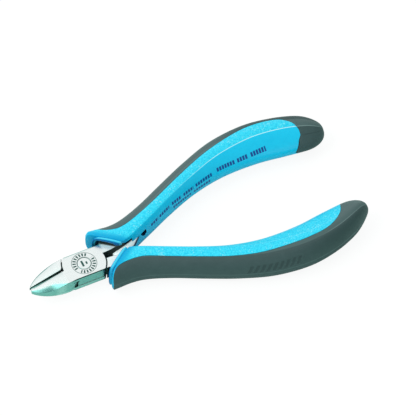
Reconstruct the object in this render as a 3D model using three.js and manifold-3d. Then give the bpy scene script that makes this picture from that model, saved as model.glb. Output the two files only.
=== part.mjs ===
// Electronics diagonal cutter with a box joint, two-colour handles and a pair of leaf springs.
// Units are millimetres. Every form is drawn about the middle plane of the head; the finished group is
// then lifted so that the origin is the centre of the pivot pin's lower end face.
// +X runs towards the handle tails, +Y towards the handle of the slotted half, +Z is the joint's axis.
import * as THREE from 'three';
import { mergeVertices } from 'three/addons/utils/BufferGeometryUtils.js';
import Module from 'manifold-3d';

const wasm = await Module();
wasm.setup();

// Head and box joint
const HEAD_HALF_THICKNESS = 3.5;
const HEAD_HALF_WIDTH = 5.5;
const PLATE_RADIUS = 8.4;        // the two outer plates end on this arc at both ends
const SLOT_RADIUS = 8.2;         // pocket between the plates that the inner web turns in
const SLOT_HALF_HEIGHT = 1.6;
const WEB_RADIUS = 7.9;
const WEB_HALF_HEIGHT = 1.5;
const SHOULDER_RADIUS = 8.7;     // where the inserted half grows to the full head thickness
const WEB_HALF_WIDTH = 5.4;
const PIN_RADIUS = 2.6;
const PIN_CLEARANCE = 0.06;
const PIN_HALF_LENGTH = 3.45;

// Jaws
const TIP_X = -22.6;
const TIP_HALF_THICKNESS = 0.7;
const TIP_WIDTH = 0.7;
const TIP_EDGE_Y = 0.5;          // half the opening at the tip in the rest position
const THROAT_X = -8.6;
const THROAT_EDGE_Y = 0.4;
const SLIT_SHIFT_TIP = 0.45;     // the slit's middle lies this far to the +Y side, at the tip
const SLIT_SHIFT_THROAT = 0.9;   // and at the throat
const TAPER_START_X = -9.5;      // the jaws keep the head thickness up to here
const JAW_TURN = 2.4;            // degrees the closed line of the jaws is turned from the handles' middle
const EDGE_RELIEF = 1.1;         // how far the hidden side of the cutting edge is ground back

// Shanks that carry the handles
const SHANK_INNER_Y = 1.35;
const TANG_HALF_THICKNESS = 2.0;
const TANG_HALF_WIDTH = 2.4;
const POCKET_GAP = 0.3;

// Handles
const HANDLE_END_X = 109.4;
const HANDLE_TAIL_START_X = 99;
const TAIL_BLUNTNESS = 2.5;       // exponent of the round-off, 2 would be elliptical
const FRONT_NORMAL = new THREE.Vector2(0.6, 0.8);   // the collar's front plane faces this way, reversed
const FRONT_OFFSETS = { 1: 9.8, '-1': 10.35 };   // from the joint's axis, per side
const LIP_WIDTH = 1.3;
const GROOVE_WIDTH = 0.6;
const GROOVE_DEPTH = 0.6;
const RECESS_DEPTH = 1.6;
const RECESS_WALL = 1.5;
const SEAM_GAP = 0.2;            // core and grip keep this distance

// Leaf springs
const LEAF_THICKNESS = 0.5;
const LEAF_HALF_WIDTH = 2.45;
const LEAF_TIP = new THREE.Vector2(12.3, 0.4);
const LEAF_BEND = new THREE.Vector2(18.6, 1.75);
const LEAF_ROOT = new THREE.Vector2(25.6, 4.5);
const CHANNEL_HALF_HEIGHT = 2.75;

const DEG = Math.PI / 180;
const TALL = 20;                 // half height of cutting blocks that pass right through

const MATERIALS = {
  steel: { color: 0xd6dedc, roughness: 0.28, metalness: 1.0 },
  spring: { color: 0xc9cfcc, roughness: 0.35, metalness: 1.0 },
  core: { color: 0x1fb4e6, roughness: 0.45, metalness: 0.0 },
  grip: { color: 0x4a5c5d, roughness: 0.8, metalness: 0.0 },
};

// Solid and mesh helpers

function toSolid(geometry) {
  const bare = geometry.index ? geometry.toNonIndexed() : geometry.clone();
  bare.deleteAttribute('normal');
  bare.deleteAttribute('uv');
  const merged = mergeVertices(bare, 1e-4);
  const vertProperties = new Float32Array(merged.attributes.position.array);
  const triVerts = new Uint32Array(merged.index.array);
  return new wasm.Manifold(new wasm.Mesh({ numProp: 3, vertProperties, triVerts }));
}

function toGeometry(solid) {
  const mesh = solid.getMesh();
  const geometry = new THREE.BufferGeometry();
  geometry.setAttribute('position', new THREE.BufferAttribute(new Float32Array(mesh.vertProperties), 3));
  geometry.setIndex(new THREE.BufferAttribute(new Uint32Array(mesh.triVerts), 1));
  const flat = geometry.toNonIndexed();
  flat.computeVertexNormals();
  return flat;
}

function makeMesh(name, solid, materialName) {
  const mesh = new THREE.Mesh(toGeometry(solid), new THREE.MeshStandardMaterial(MATERIALS[materialName]));
  mesh.name = name;
  return mesh;
}

// A slab between two heights with the outline of a closed THREE.Shape.
function slab(shape, bottom, top, curveSegments = 8) {
  const geometry = new THREE.ExtrudeGeometry(shape, { depth: top - bottom, bevelEnabled: false, curveSegments });
  geometry.translate(0, 0, bottom);
  return toSolid(geometry);
}

function polygon(points) {
  return new THREE.Shape(points.map(([x, y]) => new THREE.Vector2(x, y)));
}

function disc(radius, halfHeight, segments = 48) {
  const geometry = new THREE.CylinderGeometry(radius, radius, 2 * halfHeight, segments);
  geometry.rotateX(Math.PI / 2);
  return toSolid(geometry);
}

function block(x0, x1, y0, y1, z0, z1) {
  const geometry = new THREE.BoxGeometry(x1 - x0, y1 - y0, z1 - z0);
  geometry.translate((x0 + x1) / 2, (y0 + y1) / 2, (z0 + z1) / 2);
  return toSolid(geometry);
}

// A closed skin through rings of points: a cylinder whose rows of vertices are moved onto the rings.
function loft(rings) {
  const rows = rings.length - 1;
  const columns = rings[0].length;
  const geometry = new THREE.CylinderGeometry(1, 1, 1, columns, rows);
  const centres = rings.map((ring) => ring.reduce((sum, p) => sum.add(p), new THREE.Vector3())
    .multiplyScalar(1 / columns));
  const position = geometry.attributes.position;
  for (let i = 0; i < position.count; i += 1) {
    const x = position.getX(i);
    const z = position.getZ(i);
    const row = Math.round((0.5 - position.getY(i)) * rows);
    const turn = Math.atan2(x, z) / (2 * Math.PI);
    const column = Math.round((turn + 1) * columns) % columns;
    const target = Math.hypot(x, z) < 0.5 ? centres[row] : rings[row][column];
    position.setXYZ(i, target.x, target.y, target.z);
  }
  const solid = toSolid(geometry);
  return solid.volume() > 0 ? solid : loft([...rings].reverse());
}

// Mirrors an outline given for the +Y side onto the wanted side.
function sided(side, points) {
  return points.map(([x, y]) => [x, side * y]);
}

// Handle form: each row holds x, the inner ridge, the inner crease, the outer crease and the
// outer side (all y, for the +Y handle), and the half height of the section.
const COLLAR_STATIONS = [
  [3, 0.9, 1.1, 8.8, 13.3, 6.9],
  [9, 0.9, 1.1, 8.0, 12.7, 6.8],
  [15, 0.9, 1.1, 7.5, 12.0, 6.6],
];
const GRIP_STATIONS = {
  1: [
    [21, 1.7, 2.9, 8.4, 13.0, 6.4],
    [30, 5.2, 7.1, 12.1, 16.2, 6.3],
    [41, 10.1, 12.5, 17.5, 21.2, 6.4],
    [53, 14.4, 17.8, 22.8, 26.5, 6.6],
    [66, 16.8, 22.2, 27.1, 31.0, 7.0],
    [80, 16.8, 24.2, 28.7, 32.6, 7.2],
    [92, 15.2, 23.4, 27.2, 31.2, 7.0],
    [102, 14.1, 20.9, 24.2, 28.0, 6.8],
    [HANDLE_END_X, 14.2, 18.2, 20.8, 24.4, 6.3],
  ],
  '-1': [
    [21, 1.5, 2.8, 8.4, 13.2, 6.4],
    [30, 4.9, 7.0, 12.1, 16.8, 6.3],
    [41, 9.8, 12.4, 17.5, 22.1, 6.4],
    [53, 14.3, 17.8, 22.8, 27.5, 6.6],
    [66, 16.8, 22.2, 27.1, 31.7, 7.0],
    [80, 16.9, 24.2, 28.7, 33.1, 7.2],
    [92, 15.4, 23.3, 27.0, 31.2, 7.0],
    [102, 14.5, 20.5, 23.6, 27.2, 6.8],
    [HANDLE_END_X, 14.6, 17.6, 19.9, 23.0, 6.4],
  ],
};
const HANDLE_AXIS_TAIL_Y = 20.3;
const HANDLE_ROWS = 22;
const TAIL_ROWS = 5;
const CREASE_DROP = 0.45;        // the creases lie this far below the crown of the top face
const OUTER_FULLNESS = 2.3;      // exponent of the outer side's rounding, 2 would be elliptical
const INNER_ARC = 38 * DEG;      // how much of a quarter round the inner side covers

// Seam between core and grip in plan: behind the collar, along the outer crease, across the tail.
const SEAMS = {
  1: [
    [9.6, 17], [9.9, 13.2], [10.6, 11.0], [12.4, 9.2], [15.6, 8.0], [18.8, 7.8], [24, 9.1], [34.6, 13.3],
    [47.4, 19.2], [60, 24.4], [71.5, 27.6], [80, 29.0], [88, 28.8], [94, 27.3], [97.1, 24.6], [98.7, 22.2],
    [99.4, 19.5], [99.6, 16.5], [99.2, 10],
  ],
  '-1': [
    [7.9, 17], [8.0, 13.2], [8.5, 10.8], [10.7, 8.3], [15, 7.3], [21.3, 7.9], [29.6, 11.7], [40.5, 17.0],
    [51.6, 22.0], [63.3, 25.6], [76, 26.9], [84, 26.7], [90.1, 25.7], [94.5, 23.5], [97.6, 20.5],
    [99.2, 17.2], [99.8, 14.8], [99.7, 11],
  ],
};
const SEAM_STEPS = 45;

// One smooth curve per column of the station rows, for one side.
function curvesOf(side) {
  const rows = [...COLLAR_STATIONS, ...GRIP_STATIONS[side]];
  return [1, 2, 3, 4, 5].map((column) => new THREE.SplineCurve(
    rows.map((row) => new THREE.Vector2(row[0], row[column]))));
}

const stationCurves = { 1: curvesOf(1), '-1': curvesOf(-1) };

function stationAt(t, side) {
  const samples = stationCurves[side].map((curve) => curve.getPoint(t));
  const [ridge, inner, outer, edge, half] = samples.map((sample) => sample.y);
  return { x: samples[0].x, ridge, inner, outer, edge, half };
}

// The upper half of the section as [y, z] points, from the inner ridge to the outer side.
function sectionPoints(station, inset) {
  const { ridge, inner, outer, edge, half } = station;
  const creaseZ = half - CREASE_DROP;
  const points = [];
  for (const part of [0, 0.4, 0.75, 1]) {
    const angle = part * INNER_ARC;
    const y = ridge + (inner - ridge) * (1 - Math.cos(angle)) / (1 - Math.cos(INNER_ARC));
    points.push([y, creaseZ * Math.sin(angle) / Math.sin(INNER_ARC)]);
  }
  points.push([(inner + outer) / 2, half]);
  for (const part of [0, 0.33, 0.66, 1]) {
    const angle = part * Math.PI / 2;
    const reach = Math.sin(angle) ** (2 / OUTER_FULLNESS);
    const height = Math.max(Math.cos(angle), 0) ** (2 / OUTER_FULLNESS);
    points.push([outer + (edge - outer) * reach, creaseZ * height]);
  }
  const middle = (ridge + edge) / 2;
  const shrinkY = 1 - inset / ((edge - ridge) / 2);
  const shrinkZ = 1 - inset / half;
  return points.map(([y, z]) => [middle + (y - middle) * shrinkY, z * shrinkZ]);
}

function handleRing(t, side, inset, roundness) {
  const station = stationAt(t, side);
  const upper = sectionPoints(station, inset);
  const lower = upper.slice(1, -1).reverse().map(([y, z]) => [y, -z]);
  return upper.concat(lower).map(([y, z]) => new THREE.Vector3(
    station.x,
    side * (HANDLE_AXIS_TAIL_Y + (y - HANDLE_AXIS_TAIL_Y) * roundness),
    z * roundness));
}

function handleForm(side, inset = 0) {
  const tailSpan = HANDLE_END_X - HANDLE_TAIL_START_X;
  const tailStart = tAtX(HANDLE_TAIL_START_X, side);
  const rings = [];
  for (let row = 0; row <= HANDLE_ROWS; row += 1) {
    rings.push(handleRing(tailStart * row / HANDLE_ROWS, side, inset, 1));
  }
  for (let row = 1; row <= TAIL_ROWS; row += 1) {
    const reach = Math.sin(row / TAIL_ROWS * 0.47 * Math.PI);
    const t = tAtX(HANDLE_TAIL_START_X + tailSpan * reach, side);
    const roundness = (1 - reach ** TAIL_BLUNTNESS) ** (1 / TAIL_BLUNTNESS);
    rings.push(handleRing(t, side, inset, roundness));
  }
  return loft(rings);
}

// The curve parameter at which a handle reaches the given x.
function tAtX(x, side) {
  let low = 0;
  let high = 1;
  for (let step = 0; step < 30; step += 1) {
    const middle = (low + high) / 2;
    if (stationAt(middle, side).x < x) {
      low = middle;
    } else {
      high = middle;
    }
  }
  return (low + high) / 2;
}

// A point given by its distance along and behind the collar's front plane.
function frontPoint(side, along, behind) {
  const depth = FRONT_OFFSETS[side] + behind;
  const x = FRONT_NORMAL.y * along + FRONT_NORMAL.x * depth;
  const y = -FRONT_NORMAL.x * along + FRONT_NORMAL.y * depth;
  return [x, y];
}

// Everything behind a plane parallel to the collar's front, with a rounded outer corner.
function behindFront(side, behind) {
  const corner = frontPoint(side, 3, behind);
  const bend = frontPoint(side, -2.2, behind);
  const outer = frontPoint(side, -2.7, behind + 5.6);
  const start = frontPoint(side, 30, behind);
  const shape = new THREE.Shape();
  shape.moveTo(start[0], side * start[1]);
  shape.lineTo(corner[0], side * corner[1]);
  shape.quadraticCurveTo(bend[0], side * bend[1], outer[0], side * outer[1]);
  shape.lineTo(outer[0], side * 60);
  shape.lineTo(140, side * 60);
  shape.lineTo(140, side * start[1]);
  return slab(shape, -TALL, TALL, 6);
}

// Everything on the grip's side of the seam, which is moved sideways by the shift.
function gripRegion(side, shift) {
  const seam = new THREE.SplineCurve(SEAMS[side].map(([x, y]) => new THREE.Vector2(x, y)));
  const points = seam.getPoints(SEAM_STEPS);
  const moved = points.map((point, i) => {
    const before = points[Math.max(i - 1, 0)];
    const after = points[Math.min(i + 1, points.length - 1)];
    const along = after.clone().sub(before).normalize();
    return [point.x - along.y * shift, point.y + along.x * shift];
  });
  const shape = polygon(sided(side, [...moved, [moved.at(-1)[0], 5], [130, 5], [130, 50], [moved[0][0], 50]]));
  return slab(shape, -TALL, TALL);
}

// The flat steel tang inside a handle, widened by a gap when it is cut as a pocket.
function tangShape(side, gap) {
  const line = [[12.6, 6.4], [20, 8.2], [30, 11.4], [41, 15.6], [53, 20.2], [64, 23.4]];
  const half = TANG_HALF_WIDTH + gap;
  const lower = line.map(([x, y]) => [x + 0.35 * half, y - 0.93 * half]);
  const upper = line.map(([x, y]) => [x - 0.35 * half, y + 0.93 * half]).reverse();
  lower.push([64 + gap + 1.5, 23.8]);
  return polygon(sided(side, [...lower, ...upper]));
}

function tang(side, gap) {
  return slab(tangShape(side, gap), -TANG_HALF_THICKNESS - gap, TANG_HALF_THICKNESS + gap);
}

// Full-thickness shank from the joint to just inside the collar.
function shank(side, gap = 0) {
  const shape = polygon(sided(side, [
    [6.0, SHANK_INNER_Y - gap], [11.5, SHANK_INNER_Y + 0.15 - gap], [18.2, 2.9 - gap],
    [18.2 + gap, 5.2], [13.2 + gap, 9.0 + gap], [10.4, 8.4 + gap], [8.6, HEAD_HALF_WIDTH + gap],
    [5.0, HEAD_HALF_WIDTH + gap],
  ]));
  const edge = HEAD_HALF_THICKNESS + gap;
  return slab(shape, -edge, edge);
}

// One jaw as a tapered block with a bevelled outer side and a cutting edge at its upper face.
function jaw(side) {
  const throatEdge = side * THROAT_EDGE_Y + SLIT_SHIFT_THROAT;
  const outline = new THREE.Shape();
  outline.moveTo(-6.0, throatEdge);
  outline.lineTo(THROAT_X, throatEdge);
  outline.lineTo(TIP_X, side * TIP_EDGE_Y + SLIT_SHIFT_TIP);
  outline.lineTo(TIP_X, side * (TIP_EDGE_Y + TIP_WIDTH));
  outline.bezierCurveTo(-21.4, side * 2.5, -16.8, side * HEAD_HALF_WIDTH, -9.0, side * HEAD_HALF_WIDTH);
  outline.lineTo(-6.0, side * HEAD_HALF_WIDTH);
  const body = slab(outline, -HEAD_HALF_THICKNESS, HEAD_HALF_THICKNESS, 9);
  const profile = polygon([
    [-5, -HEAD_HALF_THICKNESS], [TAPER_START_X, -HEAD_HALF_THICKNESS], [TIP_X - 0.1, -TIP_HALF_THICKNESS],
    [TIP_X - 0.1, TIP_HALF_THICKNESS], [TAPER_START_X, HEAD_HALF_THICKNESS], [-5, HEAD_HALF_THICKNESS],
  ]);
  const wedgeGeometry = new THREE.ExtrudeGeometry(profile, { depth: 2 * TALL, bevelEnabled: false });
  wedgeGeometry.rotateX(Math.PI / 2);
  wedgeGeometry.translate(0, TALL, 0);
  return body
    .intersect(toSolid(wedgeGeometry))
    .subtract(edgeRelief(side))
    .subtract(outerBevels(side))
    .rotate([0, 0, JAW_TURN]);
}

// Ground faces behind the cutting edge: they fall back from the edge towards the underside.
function edgeRelief(side) {
  const ring = (x, y, shift, top) => [
    new THREE.Vector3(x, side * (y - 3) + shift, top),
    new THREE.Vector3(x, side * (y - 3) + shift, -5),
    new THREE.Vector3(x, side * (y + EDGE_RELIEF) + shift, -5),
    new THREE.Vector3(x, side * y + shift, top),
  ];
  const rings = [
    ring(TIP_X - 1, TIP_EDGE_Y - 0.02, SLIT_SHIFT_TIP, TIP_HALF_THICKNESS * 0.6),
    ring(THROAT_X, THROAT_EDGE_Y - 0.02, SLIT_SHIFT_THROAT, HEAD_HALF_THICKNESS * 0.6),
  ];
  return loft(rings);
}

// Two planes that lean off the outer upper and lower edges, wider towards the tip.
function outerBevels(side) {
  const ring = (x, y, z, turn) => [
    new THREE.Vector3(x, side * y, turn * z),
    new THREE.Vector3(x, side * (y + 6), turn * (z - 2.4)),
    new THREE.Vector3(x, side * (y + 6), turn * (z + 4)),
    new THREE.Vector3(x, side * y, turn * (z + 4)),
  ];
  const upper = [ring(TIP_X - 1, 0.7, 0.85, 1), ring(-7.6, 4.9, 3.6, 1)];
  const lower = [ring(TIP_X - 1, 0.7, 0.85, -1), ring(-7.6, 4.9, 3.6, -1)];
  return loft(upper).add(loft(lower));
}

function slottedHalf() {
  const plates = disc(PLATE_RADIUS, HEAD_HALF_THICKNESS)
    .intersect(block(-20, 20, -HEAD_HALF_WIDTH, HEAD_HALF_WIDTH, -TALL, TALL));
  const slot = disc(SLOT_RADIUS, SLOT_HALF_HEIGHT)
    .add(block(-11, 0, -0.4, 8, -SLOT_HALF_HEIGHT, SLOT_HALF_HEIGHT))
    .add(block(0, 11, -8, 0.4, -SLOT_HALF_HEIGHT, SLOT_HALF_HEIGHT));
  return plates
    .add(jaw(-1))
    .add(shank(1))
    .add(tang(1, 0))
    .subtract(slot)
    .subtract(disc(PIN_RADIUS + PIN_CLEARANCE, TALL));
}

function insertedHalf() {
  const band = block(-20, 20, -WEB_HALF_WIDTH, WEB_HALF_WIDTH, -TALL, TALL);
  const web = disc(WEB_RADIUS, WEB_HALF_HEIGHT).intersect(band);
  const shoulderCut = disc(SHOULDER_RADIUS, TALL);
  const bridges = block(-10, -6, THROAT_EDGE_Y + SLIT_SHIFT_THROAT, 5.2, -WEB_HALF_HEIGHT, WEB_HALF_HEIGHT)
    .add(block(6, 10, -5.2, -SHANK_INNER_Y, -WEB_HALF_HEIGHT, WEB_HALF_HEIGHT));
  return jaw(1)
    .add(shank(-1))
    .subtract(shoulderCut)
    .add(tang(-1, 0))
    .add(bridges)
    .add(web)
    .subtract(disc(PIN_RADIUS + PIN_CLEARANCE, TALL));
}

function pivotPin() {
  return disc(PIN_RADIUS, PIN_HALF_LENGTH);
}

// The plan outline of a leaf spring, grown by a gap on each side when it is cut as a channel.
function leafShape(side, gapIn, gapOut) {
  const curve = new THREE.QuadraticBezierCurve(LEAF_TIP, LEAF_BEND, LEAF_ROOT);
  const points = curve.getPoints(8);
  const half = LEAF_THICKNESS / 2;
  const offset = (distance) => points.map((point, i) => {
    const along = curve.getTangent(i / 8);
    return [point.x - along.y * distance, point.y + along.x * distance];
  });
  return polygon(sided(side, [...offset(-half - gapIn), ...offset(half + gapOut).reverse()]));
}

function leafSpring(side) {
  return slab(leafShape(side, 0, 0), -LEAF_HALF_WIDTH, LEAF_HALF_WIDTH);
}

// The open channel for the leaf, its blind root slot and the small window at its end.
function leafChannel(side) {
  const z = CHANNEL_HALF_HEIGHT;
  const open = polygon(sided(side, [[10, -1], [25.2, -1], [25.2, 5.1], [22, 4.2], [18, 3.2], [10, 2.4]]));
  const root = polygon(sided(side, [[24.9, 3.7], [27.0, 4.5], [27.0, 5.9], [24.9, 5.1]]));
  const window = polygon([[25.6, 2.5], [26.0, 1.2], [26.9, 0.2], [28.1, 1.3], [27.9, 2.6]]);
  const windowGeometry = new THREE.ExtrudeGeometry(window, { depth: 4.4, bevelEnabled: false });
  windowGeometry.rotateX(Math.PI / 2);
  windowGeometry.translate(0, side > 0 ? 5.6 : -1.2, 0);
  return slab(open, -z, z).add(slab(root, -z, z)).add(toSolid(windowGeometry));
}

// The whole handle with its front lip, groove and recess, before it is split into core and grip.
function handleBlank(side) {
  const full = handleForm(side);
  const grooved = handleForm(side, GROOVE_DEPTH);
  const recess = handleForm(side, RECESS_WALL);
  const front = behindFront(side, 0);
  const grooveStart = behindFront(side, LIP_WIDTH);
  const grooveEnd = behindFront(side, LIP_WIDTH + GROOVE_WIDTH);
  const lip = full.intersect(front).subtract(grooveStart);
  const body = full.intersect(grooveEnd);
  const neck = grooved.intersect(front);
  return lip.add(body).add(neck)
    .subtract(recess.subtract(behindFront(side, RECESS_DEPTH)))
    .subtract(shank(side, POCKET_GAP))
    .subtract(tang(side, POCKET_GAP));
}

function handlePieces(side) {
  const blank = handleBlank(side);
  const core = blank.subtract(gripRegion(side, -SEAM_GAP / 2)).subtract(leafChannel(side));
  const grip = blank.intersect(gripRegion(side, SEAM_GAP / 2));
  return { core, grip };
}

const upper = handlePieces(1);
const lower = handlePieces(-1);

const cutter = new THREE.Group();
cutter.position.z = PIN_HALF_LENGTH;
cutter.add(makeMesh('slotted_half', slottedHalf(), 'steel'));
cutter.add(makeMesh('inserted_half', insertedHalf(), 'steel'));
cutter.add(makeMesh('pivot_pin', pivotPin(), 'steel'));
cutter.add(makeMesh('upper_handle_core', upper.core, 'core'));
cutter.add(makeMesh('lower_handle_core', lower.core, 'core'));
cutter.add(makeMesh('upper_handle_grip', upper.grip, 'grip'));
cutter.add(makeMesh('lower_handle_grip', lower.grip, 'grip'));
cutter.add(makeMesh('upper_leaf_spring', leafSpring(1), 'spring'));
cutter.add(makeMesh('lower_leaf_spring', leafSpring(-1), 'spring'));

export default cutter;
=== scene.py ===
"""Electronics diagonal cutter with a box joint, two-colour handles and a pair of leaf springs.

The forms are drawn in millimetres about the middle plane of the head, with the joint's axis at x = y = 0,
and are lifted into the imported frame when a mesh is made. The upper handle is on the +Y side (side = 1),
the lower handle is its mirror image (side = -1).
"""
import math

import bmesh
import bpy
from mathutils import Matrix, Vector


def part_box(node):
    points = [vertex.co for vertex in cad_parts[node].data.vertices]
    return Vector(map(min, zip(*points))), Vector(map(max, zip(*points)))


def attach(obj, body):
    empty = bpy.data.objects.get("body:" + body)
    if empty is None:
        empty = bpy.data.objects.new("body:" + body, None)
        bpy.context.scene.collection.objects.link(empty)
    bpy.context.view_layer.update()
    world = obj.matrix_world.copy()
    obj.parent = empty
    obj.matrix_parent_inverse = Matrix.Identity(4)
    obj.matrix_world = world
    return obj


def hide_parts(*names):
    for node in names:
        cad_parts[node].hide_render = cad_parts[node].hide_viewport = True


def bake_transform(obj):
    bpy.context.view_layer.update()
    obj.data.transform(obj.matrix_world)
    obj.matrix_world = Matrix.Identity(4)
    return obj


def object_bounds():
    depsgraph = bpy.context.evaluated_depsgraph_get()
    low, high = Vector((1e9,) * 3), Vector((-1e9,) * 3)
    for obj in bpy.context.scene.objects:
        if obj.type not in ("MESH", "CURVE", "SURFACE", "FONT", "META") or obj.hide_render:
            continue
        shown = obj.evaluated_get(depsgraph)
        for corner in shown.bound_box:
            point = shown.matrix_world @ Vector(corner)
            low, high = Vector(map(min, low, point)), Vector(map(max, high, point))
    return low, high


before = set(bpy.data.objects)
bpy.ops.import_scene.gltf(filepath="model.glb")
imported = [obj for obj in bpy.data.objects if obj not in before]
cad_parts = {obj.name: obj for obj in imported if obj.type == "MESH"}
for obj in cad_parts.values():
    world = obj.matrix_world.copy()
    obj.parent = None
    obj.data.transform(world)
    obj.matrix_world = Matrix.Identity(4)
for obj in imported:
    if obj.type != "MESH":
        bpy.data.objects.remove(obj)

CAD_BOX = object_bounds()

MM = 0.001
PIN_LOW, PIN_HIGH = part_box("pivot_pin")
MIDDLE_Z = (PIN_LOW.z + PIN_HIGH.z) / 2          # height of the head's middle plane in the frame
HALF_LOW, HALF_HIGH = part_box("slotted_half")

# Head and box joint, millimetres
HEAD_HALF_THICKNESS = (HALF_HIGH.z - HALF_LOW.z) / 2 / MM
HEAD_HALF_WIDTH = 5.5
PLATE_RADIUS = 8.4
SLOT_RADIUS = 7.95
SLOT_HALF_HEIGHT = 1.6
WEB_RADIUS = 7.9
WEB_HALF_HEIGHT = 1.5
WEB_HALF_WIDTH = 5.4
SHOULDER_RADIUS = 8.85
PIN_RADIUS = (PIN_HIGH.x - PIN_LOW.x) / 2 / MM
PIN_GAP = 0.06
PIN_HALF_LENGTH = (PIN_HIGH.z - PIN_LOW.z) / 2 / MM

# Jaws, millimetres
TIP_X = -22.6
THROAT_X = -8.6
TIP_EDGE_Y = 0.5
THROAT_EDGE_Y = 0.5
SLIT_SHIFT_TIP = 0.45            # the slit's middle lies this far to the +Y side at the tip,
SLIT_SHIFT_THROAT = 0.9          # and this far at the throat
TIP_WIDTH = 0.6
TIP_TOP_Z = 0.75
TIP_LOW_Z = 1.0
FULL_X = -9.0                    # the jaws have the head's full width and thickness from here on
ROOT_X = -8.2                    # their sections change from here to the tip
SIDE_TUCK = 0.12                 # share by which the lower part of the flank is drawn in at the tip
SHOULDER_DROP = 0.68             # how deep the upper bevel goes for its share of the width
THROAT_NOTCH = [(-9.6, 0.9), (-7.9, 0.6), (-8.1, 1.9), (-8.8, 1.8), (-9.0, 1.3)]
BEVEL_SHARES = {1: 0.14, -1: 0.62}   # share of a jaw's width that its upper bevel takes near the tip
COMMA_GAP = [
    (-6.5, -1.2), (-6.2, -1.9), (-5.5, -2.05), (-4.95, -1.6), (-4.9, 0.6), (-4.0, 1.7), (-5.0, 1.6),
    (-5.9, 0.8), (-6.4, -0.1),
]
COMMA_CENTRE_X = -5.72           # the round part of the comma, about 1 in half height
COMMA_CENTRE_Z = -0.95
COMMA_HALF_WIDTH = 0.62
TURN_START_X = -5.2              # the jaws' turn grows from here
TURN_END_X = -9.0
JAW_TURN = math.radians(2.4)

# Handles: x, inner ridge, inner crease, outer crease, outer side (distances from the X axis), half height
COLLAR_STATIONS = {
    1: [(3, 0.9, 1.1, 8.8, 13.3, 6.9), (9, 0.9, 1.1, 8.0, 12.8, 6.8), (15, 0.9, 1.1, 7.5, 12.1, 6.6)],
    -1: [(3, 0.9, 1.1, 8.2, 11.9, 6.6), (9, 0.9, 1.1, 7.8, 12.0, 6.7), (15, 0.9, 1.1, 7.5, 12.0, 6.6)],
}
GRIP_STATIONS = {
    1: [
        (21, 1.7, 2.9, 8.4, 13.0, 6.4),
        (30, 5.2, 7.1, 12.1, 16.2, 6.3),
        (41, 10.1, 12.5, 17.5, 21.2, 6.4),
        (53, 14.4, 17.8, 22.8, 26.5, 6.6),
        (66, 16.8, 22.2, 27.1, 31.0, 7.0),
        (80, 16.8, 24.2, 28.7, 32.6, 7.2),
        (92, 15.2, 23.4, 27.2, 31.2, 7.0),
        (102, 14.1, 20.9, 24.2, 28.0, 6.8),
        (109.4, 14.2, 18.2, 20.8, 24.4, 6.3),
    ],
    -1: [
        (21, 1.5, 2.8, 8.4, 13.2, 6.4),
        (30, 4.9, 7.0, 12.1, 16.8, 6.3),
        (41, 9.8, 12.4, 17.5, 22.1, 6.4),
        (53, 14.3, 17.8, 22.8, 27.5, 6.6),
        (66, 16.8, 22.2, 27.1, 31.7, 7.0),
        (80, 16.9, 24.2, 28.7, 33.1, 7.2),
        (92, 15.4, 23.3, 27.0, 31.2, 7.0),
        (102, 14.5, 20.5, 23.6, 27.2, 6.8),
        (109.4, 14.6, 17.6, 19.9, 23.0, 6.4),
    ],
}
TAIL_START_X = 99
TAIL_END_X = 109.4
TAIL_AXIS_Y = 20.3
TAIL_BLUNTNESS = 2.5
CREASE_DROP = 0.45
INNER_ARC = math.radians(38)
OUTER_FULLNESS = 2.3
INNER_CREASE = 0.36              # place of the creases on the half section, 0 inner ridge, 1 outer side
OUTER_CREASE = 0.56
CREASE_SOFTNESS = 0.013          # the creases are rounded over this share of the half section

# Seam between core and grip in plan, as distances from the X axis
SEAMS = {
    1: [
        (9.6, 17), (9.9, 13.2), (10.6, 11.0), (12.4, 9.2), (15.6, 8.0), (18.8, 7.8), (24, 9.1), (34.6, 13.3),
        (47.4, 19.2), (60, 24.4), (71.5, 27.6), (80, 29.0), (88, 28.8), (94, 27.3), (97.1, 24.6),
        (98.7, 22.2), (99.4, 19.5), (99.6, 16.5), (99.2, 10),
    ],
    -1: [
        (6.6, 17), (6.8, 13.0), (7.6, 10.6), (10.4, 8.2), (15, 7.3), (21.3, 7.9), (29.6, 11.7), (40.5, 17.0),
        (51.6, 22.0), (63.3, 25.6), (76, 26.9), (84, 26.7), (90.1, 25.7), (94.5, 23.5), (97.6, 20.5),
        (99.2, 17.2), (99.8, 14.8), (99.7, 11),
    ],
}
TAIL_SWEEP = {1: 4.2, -1: 0.0}   # how far the seam curves back at the inner ridge
SWEEP_START = 0.33               # place on the half section from which it curves back
SEAM_GAP = 0.05
GRIP_DEPTH = 0.9                 # thickness of the grip where it lies over the core

# Collar at the front of each handle
FRONT_OFFSETS = {1: 9.8, -1: 10.35}
FRONT_NORMAL = (0.6, 0.8)
CORNER_START = 2.2               # along the front plane, where the outer corner starts to round off
CORNER_END = -3.1
CORNER_DEPTH = 4.6
LIP_STRAIGHT = 6.1               # past this y the lip is drawn in at the outer corner
LIP_SHARES = {1: 0.12, -1: 0.3}  # what is left there of the distance past that y
LIP_BLEND = 0.6

# Rows of printed dashes on the upper handle's inner face: x from, x to, z from, z to
PRINT_ROWS = [
    (30.5, 34.3, 2.5, 2.65), (35.0, 40.2, 2.7, 2.95), (41.6, 46.4, 3.1, 2.75), (47.4, 52.4, 2.65, 2.6),
    (53.4, 61.2, 2.65, 2.95), (42.0, 51.0, 1.0, 0.45), (52.2, 60.4, 0.4, 0.9), (63.5, 71.4, 3.35, 3.3),
    (72.4, 77.0, 3.3, 3.5), (78.2, 84.7, 3.5, 3.9),
]
PRINT_HALF_HEIGHT = 0.62
PRINT_PITCH = 1.15

# Row of sunk slanted bars on the lower handle's outer side
RELIEF_MIDDLE_X = 66.0
RELIEF_MIDDLE_Z = 2.6
RELIEF_HALF_LENGTH = 10.5
RELIEF_HALF_HEIGHT = 1.7
RELIEF_PITCH = 2.3

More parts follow.
